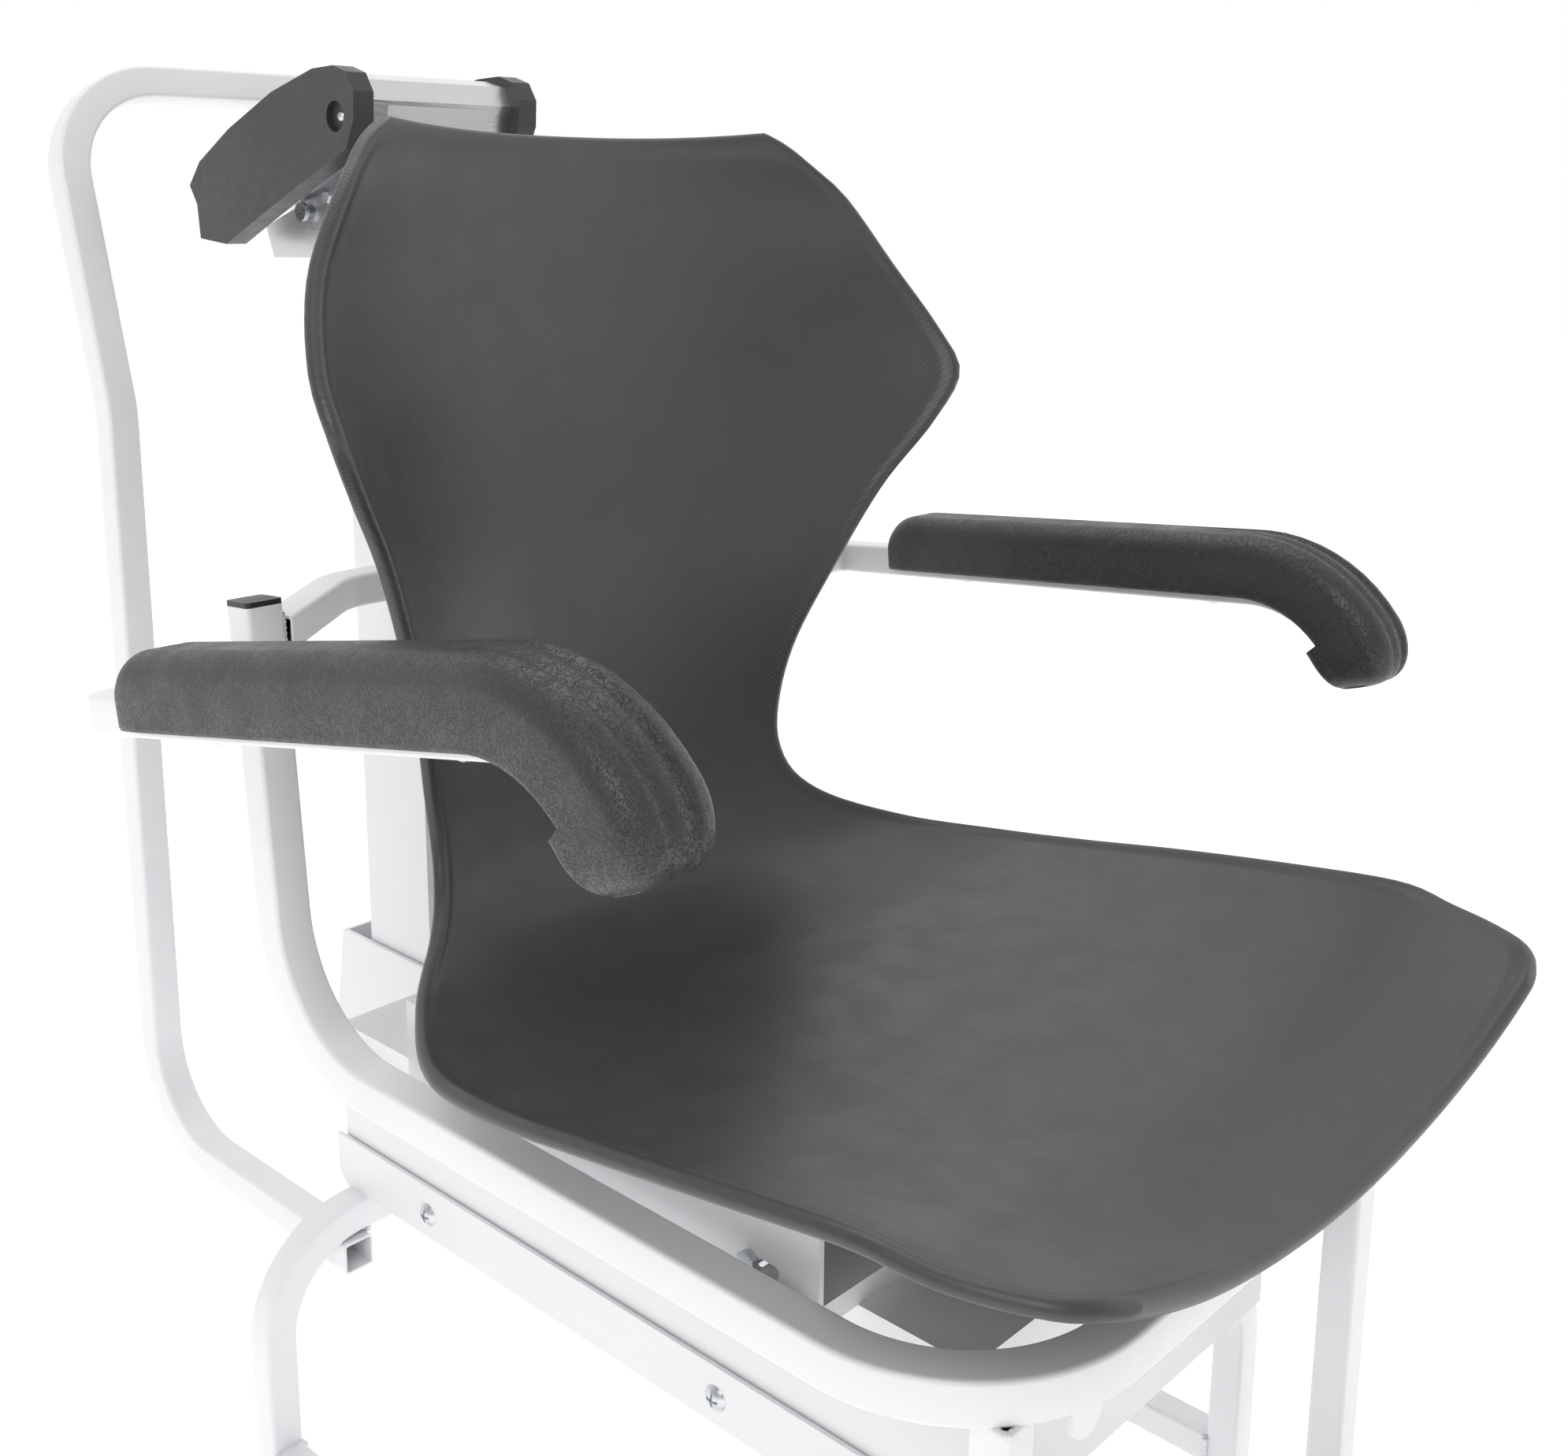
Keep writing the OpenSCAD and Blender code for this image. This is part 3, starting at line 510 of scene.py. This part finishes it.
def arm_pad(side):
    place = arm_place(side)
    rings = []
    for s in pad_stations():
        wide, high, flute, low, roof = pad_profile(s)
        turn = max(0, (s - ARM_STRAIGHT) / ARM_BEND)
        straight = min(s, ARM_STRAIGHT)
        up = Vector((0, -math.sin(turn), math.cos(turn)))
        at = Vector((ARM_X, -straight, -ARM_BEND)) + up * ARM_BEND
        section = pad_section(PAD_HALF * wide, PAD_TOP * high, flute, low, roof)
        rings.append([place @ (at + Vector((x, 0, 0)) + up * y) for x, y in section])
    verts, faces = loft(rings, caps=True)
    piece = finish_mesh(side + "_arm_pad_skin", verts, faces, side + "_arm", skin, sharp=60)
    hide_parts(side + "_arm_pad")


# --- seat shell

SHELL_T = 5
RIM_R = 4.4
RIM_REACH = 40
# [y, z in the middle, half width, how far the edge stands out, its direction in degrees (0 up, 90 forward),
# power of the curve across]
SHELL_ROWS = [
    (-381, 457, 180, 41, 0, 2), (-376, 460, 199, 44, 0, 2.1), (-366, 463, 213, 43, 0, 2.1),
    (-345, 468, 224, 39, 0, 2.2), (-322, 472, 231, 36, 0, 2.3), (-290, 474, 236, 37, 0, 2.4),
    (-225, 470, 239, 33, 0, 2.4), (-150, 464, 240, 28, 0, 2.4), (-80, 458, 238, 23, 0, 2.4),
    (-20, 453, 228, 23, 5, 2.4), (35, 454, 196, 28, 15, 2.4), (78, 468, 162, 32, 35, 2.4),
    (104, 495, 143, 29, 60, 2.4), (114, 527, 136, 25, 80, 2.4), (118, 560, 138, 27, 88, 2.4),
    (120, 600, 146, 36, 90, 2.4), (121, 650, 165, 54, 90, 2.4), (122, 700, 188, 73, 90, 2.4),
    (123, 740, 214, 93, 90, 2.4), (124, 772, 230, 102, 90, 2.4), (125, 800, 228, 86, 90, 2.4),
    (126, 840, 211, 62, 90, 2.4), (126, 880, 184, 46, 90, 2.4), (126, 897, 166, 33, 86, 2.4),
    (126, 906, 152, 26, 80, 2.4), (126, 912, 136, 21.5, 75, 2.4),
]


def smooth_row(t):
    """Catmull-Rom between the rows, with t counting rows."""
    last = len(SHELL_ROWS) - 1
    j = min(int(t), last - 1)
    f = t - j
    p0, p1, p2, p3 = (SHELL_ROWS[min(max(k, 0), last)] for k in (j - 1, j, j + 1, j + 2))
    return [b + 0.5 * f * (c - a + f * (2 * a - 5 * b + 4 * c - d + f * (3 * b - a - 3 * c + d)))
            for a, b, c, d in zip(p0, p1, p2, p3)]


def shell_face(t, u):
    y, z, half, stand, lean, power = smooth_row(t)
    out = stand * abs(u) ** power
    lean = math.radians(lean)
    return Vector((u * half, y - out * math.sin(lean), z + out * math.cos(lean)))


def rim_relief(d):
    """(front, back) offset of the skin at distance d from the shell's edge."""
    bead = 1.0
    if d < RIM_R:
        half = math.sqrt(max(0, RIM_R ** 2 - (RIM_R - d) ** 2))
        return bead - RIM_R + half, bead - RIM_R - half
    fade = min(1, (d - RIM_R) / 9)
    fade = fade * fade * (3 - 2 * fade)
    groove = 0.55 * math.exp(-((d - RIM_R - 7) / 2.5) ** 2)
    return bead * (1 - fade) - groove, (bead - 2 * RIM_R) * (1 - fade) - SHELL_T * fade


def corner_distance(side, end):
    """Distance to the rim, blended so that the rim's relief runs smoothly round the corners."""
    if min(side, end) >= RIM_REACH:
        return RIM_REACH
    return min(side, end, 1 / math.hypot(1 / (side + 1e-6), 1 / (end + 1e-6)))


def seat_shell():
    near_edge = [0, 0.25, 0.8, 1.7, 3, 4.4, 6, 8, 10.5, 13.5, 18, 25]
    # stations along the shell: dense at both ends, even between
    last = len(SHELL_ROWS) - 1
    fine = [last * i / 2000 for i in range(2001)]
    length = [0]
    for a, b in zip(fine, fine[1:]):
        length.append(length[-1] + (shell_face(b, 0) - shell_face(a, 0)).length)
    total = length[-1]
    inner = [near_edge[-1] + (total - 2 * near_edge[-1]) * i / 110 for i in range(1, 110)]
    wanted = near_edge + inner + [total - d for d in reversed(near_edge)]
    stations = []
    k = 0
    for d in wanted:
        while k < len(length) - 2 and length[k + 1] < d:
            k += 1
        f = (d - length[k]) / max(1e-9, length[k + 1] - length[k])
        stations.append((fine[k] + min(1, f) * (fine[1] - fine[0]), min(d, total - d)))
    front, back = [], []
    for t, end_d in stations:
        half, stand, _, power = smooth_row(t)[2:]
        run = math.hypot(half, power * stand)
        us = [1 - d / run for d in near_edge]
        us += [us[-1] * (1 - i / 16) for i in range(1, 17)]
        us = [-u for u in us[:-1]] + us[::-1]
        fronts, backs = [], []
        for u in us:
            e = 1e-3
            dt = shell_face(min(t + e, last), u) - shell_face(max(t - e, 0), u)
            du = shell_face(t, min(u + e, 1)) - shell_face(t, max(u - e, -1))
            normal = du.cross(dt).normalized()
            side_d = (1 - abs(u)) * run
            up, down = rim_relief(corner_distance(side_d, end_d))
            at = shell_face(t, u)
            fronts.append(at + normal * up)
            backs.append(at + normal * down)
        front.append(fronts)
        back.append(backs)
    rows, cols = len(front), len(front[0])
    verts = [p for row in front for p in row] + [p for row in back for p in row]
    layer = rows * cols

    def at(j, i, side):
        edge = j in (0, rows - 1) or i in (0, cols - 1)
        return j * cols + i + (0 if side == 0 or edge else layer)

    faces = []
    for j in range(rows - 1):
        for i in range(cols - 1):
            quad = ((j, i), (j, i + 1), (j + 1, i + 1), (j + 1, i))
            faces.append(tuple(at(a, b, 0) for a, b in quad))
            faces.append(tuple(at(a, b, 1) for a, b in reversed(quad)))
    used = sorted(set(v for face in faces for v in face))
    index = {v: n for n, v in enumerate(used)}
    verts = [verts[v] for v in used]
    faces = [tuple(index[v] for v in face) for face in faces]
    piece = finish_mesh("seat_shell_skin", verts, faces, "chair", charcoal, sharp=70)
    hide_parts("seat_shell")


def shell_bosses():
    """Moulded feet between the rails and the shell."""
    for sx in (-1, 1):
        for y, high in ((-150, 15), (20, 8)):
            rings = []
            for r, z in ((0.01, 0), (8.4, 0), (9, 0.6), (9, high - 3), (10, high - 1), (12, high)):
                rings.append([Vector((sx * 153 + r * math.cos(t), y + r * math.sin(t), 454 + z))
                              for t in (2 * math.pi * k / 32 for k in range(32))])
            verts, faces = loft(rings, caps=True)
            name = "shell_boss_%s_%s" % ("left" if sx < 0 else "right", "front" if y < 0 else "rear")
            finish_mesh(name, verts, faces, "chair", charcoal)


# --- castors, welds, indicator details

def castor_wheels():
    for end in ("rear", "front"):
        for side in ("left", "right"):
            name = "%s_%s" % (end, side)
            low, high = (Vector(c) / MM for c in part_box(name + "_wheel"))
            centre = (low + high) / 2
            r = (high.z - low.z) / 2
            w = (high.x - low.x) / 2
            tread = [(r - 9, -w + 2), (r - 4, -w + 1), (r - 1.6, -w + 2.6), (r - 0.3, -w + 6), (r, -3),
                     (r - 0.8, -2), (r - 0.8, 2), (r, 3), (r - 0.3, w - 6), (r - 1.6, w - 2.6),
                     (r - 4, w - 1), (r - 9, w - 2)]
            hub = [(4.1, -w), (9, -w), (10, -w + 1), (12, -w + 3.5), (r - 13, -w + 4.5), (r - 9.6, -w + 1.6),
                   (r - 9, -w + 1.6), (r - 9, w - 1.6), (r - 9.6, w - 1.6), (r - 13, w - 4.5), (12, w - 3.5),
                   (10, w - 1), (9, w), (4.1, w)]
            tyre = lathe(name + "_tread", tread, centre, name + "_roller", rubber)
            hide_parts(name + "_wheel")
            lathe(name + "_hub", hub, centre, name + "_roller", hub_plastic)


def weld_square(name, x, y, z, half, axis):
    """A bead round a square tube of half width half, in the plane across axis (y or z)."""
    r = half + 0.6
    corners = [(-r, -r), (r, -r), (r, r), (-r, r), (-r, -r)]
    if axis == "y":
        points = [(x + a, y, z + b) for a, b in corners]
    else:
        points = [(x + a, y + b, z) for a, b in corners]
    weld(name, points)


def welds():
    half = LEG_TUBE / 2
    for label_side, sx in SIDE.items():
        rail_ends = (LEG_YS["rear_leg_frame"] - half, "rear"), (LEG_YS["front_leg_frame"] + half, "front")
        for y, facing in rail_ends:
            weld_square("weld_rail_%s_%s" % (facing, label_side), sx * LEG_X - sx * 2, y, 137, half - 2, "y")
        weld_square("weld_hanger_" + label_side, sx * 159, -308.5, SEAT_Z - SEAT_TUBE / 2 - 0.5, half, "z")
        x = sx * HANDLE_X
        for edge in (-1, 1):
            weld("weld_handle_%s_%d" % (label_side, edge + 1),
                 [(x + edge * (half + 0.3), 177, 263), (x + edge * (half + 0.3), 195, 263)], radius=2)
        joint = [(165, 633.5), (166, 656.5), (184, 656.5), (184, 633.5)]
        post_x = SEAT_X - SEAT_TUBE / 2 - 0.5
        weld("weld_cross_" + label_side, [(sx * post_x, y, z) for y, z in joint], radius=1.8)


def name_plate():
    """Pale plate on the indicator's face towards the seat."""
    plate_x = 38
    lower, upper = Vector((0, 256.8, 911.5)), Vector((0, 250.6, 931.5))
    out = Vector((0, -0.95, -0.3)).normalized()
    rings = []
    for lift, inset in ((-0.4, 0), (0.35, 0), (0.6, 0.4)):
        rings.append([Vector((sx * (plate_x - inset), 0, 0)) + lower.lerp(upper, t) + out * lift
                      for sx, t in ((-1, 0.02), (1, 0.02), (1, 0.98), (-1, 0.98))])
    verts, faces = loft(rings, caps=True)
    finish_mesh("indicator_plate", verts, faces, "indicator", label, sharp=20)


DECK_TOP, DECK_LOW = Vector((0, 272, 950)), Vector((0, 424, 890))
READOUT_Y = 322
QUAD = ((-1, -1), (1, -1), (1, 1), (-1, 1))


def deck_bars(name, bars, low, high, look):
    """Flat bars on the sloping deck: (right, up, width, height) as the reader behind the chair sees them."""
    downhill = (DECK_LOW - DECK_TOP).normalized()
    normal = Vector((1, 0, 0)).cross(downhill)
    middle = DECK_TOP.lerp(DECK_LOW, (READOUT_Y - DECK_TOP.y) / (DECK_LOW.y - DECK_TOP.y))
    verts, faces = [], []
    for right, up, width, height in bars:
        corners = [(right + sx * width / 2, up + sy * height / 2) for sx, sy in QUAD]
        rings = [[middle - Vector((a, 0, 0)) - downhill * b + normal * lift for a, b in corners]
                 for lift in (low, high)]
        bar_verts, bar_faces = loft(rings, caps=True)
        faces += [tuple(len(verts) + v for v in face) for face in bar_faces]
        verts += bar_verts
    finish_mesh(name, verts, faces, "indicator", look, sharp=20)


def readout():
    """Screen glass in the display window, reading 0.0 in seven-segment digits."""
    deck_bars("screen_glass", [(0, 4, 68, 32)], 0.5, 0.8, lcd)
    tall, wide, stroke = 9, 9, 1.6
    middle = 4
    bars = [(17.5, middle - tall + 1, stroke, stroke)]
    for x in (10, 25):
        bars += [(x, middle + sy * tall, wide - stroke, stroke) for sy in (-1, 1)]
        bars += [(x + sx * wide / 2, middle + sy * tall / 2, stroke, tall - stroke) for sx, sy in QUAD]
    deck_bars("screen_digits", bars, 0.8, 0.95, glass)


# --- camera, light and floor

def camera():
    data = bpy.data.cameras.new("camera")
    data.lens = 40.85
    data.sensor_width = 36
    data.shift_x = -0.0058
    data.shift_y = -0.0926
    eye = bpy.data.objects.new("camera", data)
    bpy.context.scene.collection.objects.link(eye)
    right = Vector((0.6772, -0.7358, 0.0078)).normalized()
    up = Vector((0.1505, 0.1488, 0.9774))
    up = (up - right * up.dot(right)).normalized()
    back = right.cross(up)
    turn = Matrix((right, up, back)).transposed().to_4x4()
    eye.matrix_world = Matrix.Translation((-0.6817, -0.6703, 0.8791)) @ turn
    bpy.context.scene.camera = eye


def lamp(name, place, aim, size, power):
    data = bpy.data.lights.new(name, "AREA")
    data.shape = "RECTANGLE"
    data.size, data.size_y = size
    data.energy = power
    item = bpy.data.objects.new(name, data)
    item.location = place
    item.rotation_euler = (Vector(aim) - Vector(place)).to_track_quat("-Z", "Y").to_euler()
    bpy.context.scene.collection.objects.link(item)


def studio():
    world = bpy.data.worlds.new("studio")
    bpy.context.scene.world = world
    world.use_nodes = True
    sky = world.node_tree.nodes["Background"]
    split = add(world.node_tree, "ShaderNodeSeparateXYZ")
    coords = add(world.node_tree, "ShaderNodeTexCoord")
    world.node_tree.links.new(coords.outputs["Generated"], split.inputs["Vector"])
    back = maths(world.node_tree, "ADD", split.outputs["X"], split.outputs["Y"])
    sky.inputs["Color"].default_value = (1, 1, 1, 1)
    world.node_tree.links.new(remap(world.node_tree, back, -0.6, 0.7, 0.5, 1.0), sky.inputs["Strength"])
    lamp("key", (-2.2, -1.2, 2.4), (0, 0, 0.5), (1.6, 1.6), 25)
    lamp("fill", (1.8, -1.8, 1.6), (0, 0, 0.5), (1.8, 1.8), 5)
    lamp("top", (0.2, 0.6, 2.8), (0, 0, 0.6), (1.8, 1.8), 12)
    mesh = bpy.data.meshes.new("floor")
    reach = 12
    mesh.from_pydata([(reach * x, reach * y, 0) for x, y in QUAD], [], [(0, 1, 2, 3)])
    floor = bpy.data.objects.new("floor", mesh)
    bpy.context.scene.collection.objects.link(floor)
    made, tree, shader = material("pale_floor", (0.93, 0.93, 0.93), roughness=0.9)
    two_tone(tree, shader, noise(tree, place_on_object(tree), 3), (0.92, 0.92, 0.92), (0.94, 0.94, 0.94))
    shader.inputs["Emission Color"].default_value = (1, 1, 1, 1)
    shader.inputs["Emission Strength"].default_value = 0.5
    mesh.materials.append(made)
    bpy.context.scene.view_settings.view_transform = "Standard"


camera()
studio()
dress_cad_nodes()
base_tubes()
handle_tube()
seat_tube()
cross_tube()
for arm_side in SIDE:
    arm_tube(arm_side)
    arm_pad(arm_side)
seat_shell()
shell_bosses()
castor_wheels()
welds()
name_plate()
readout()
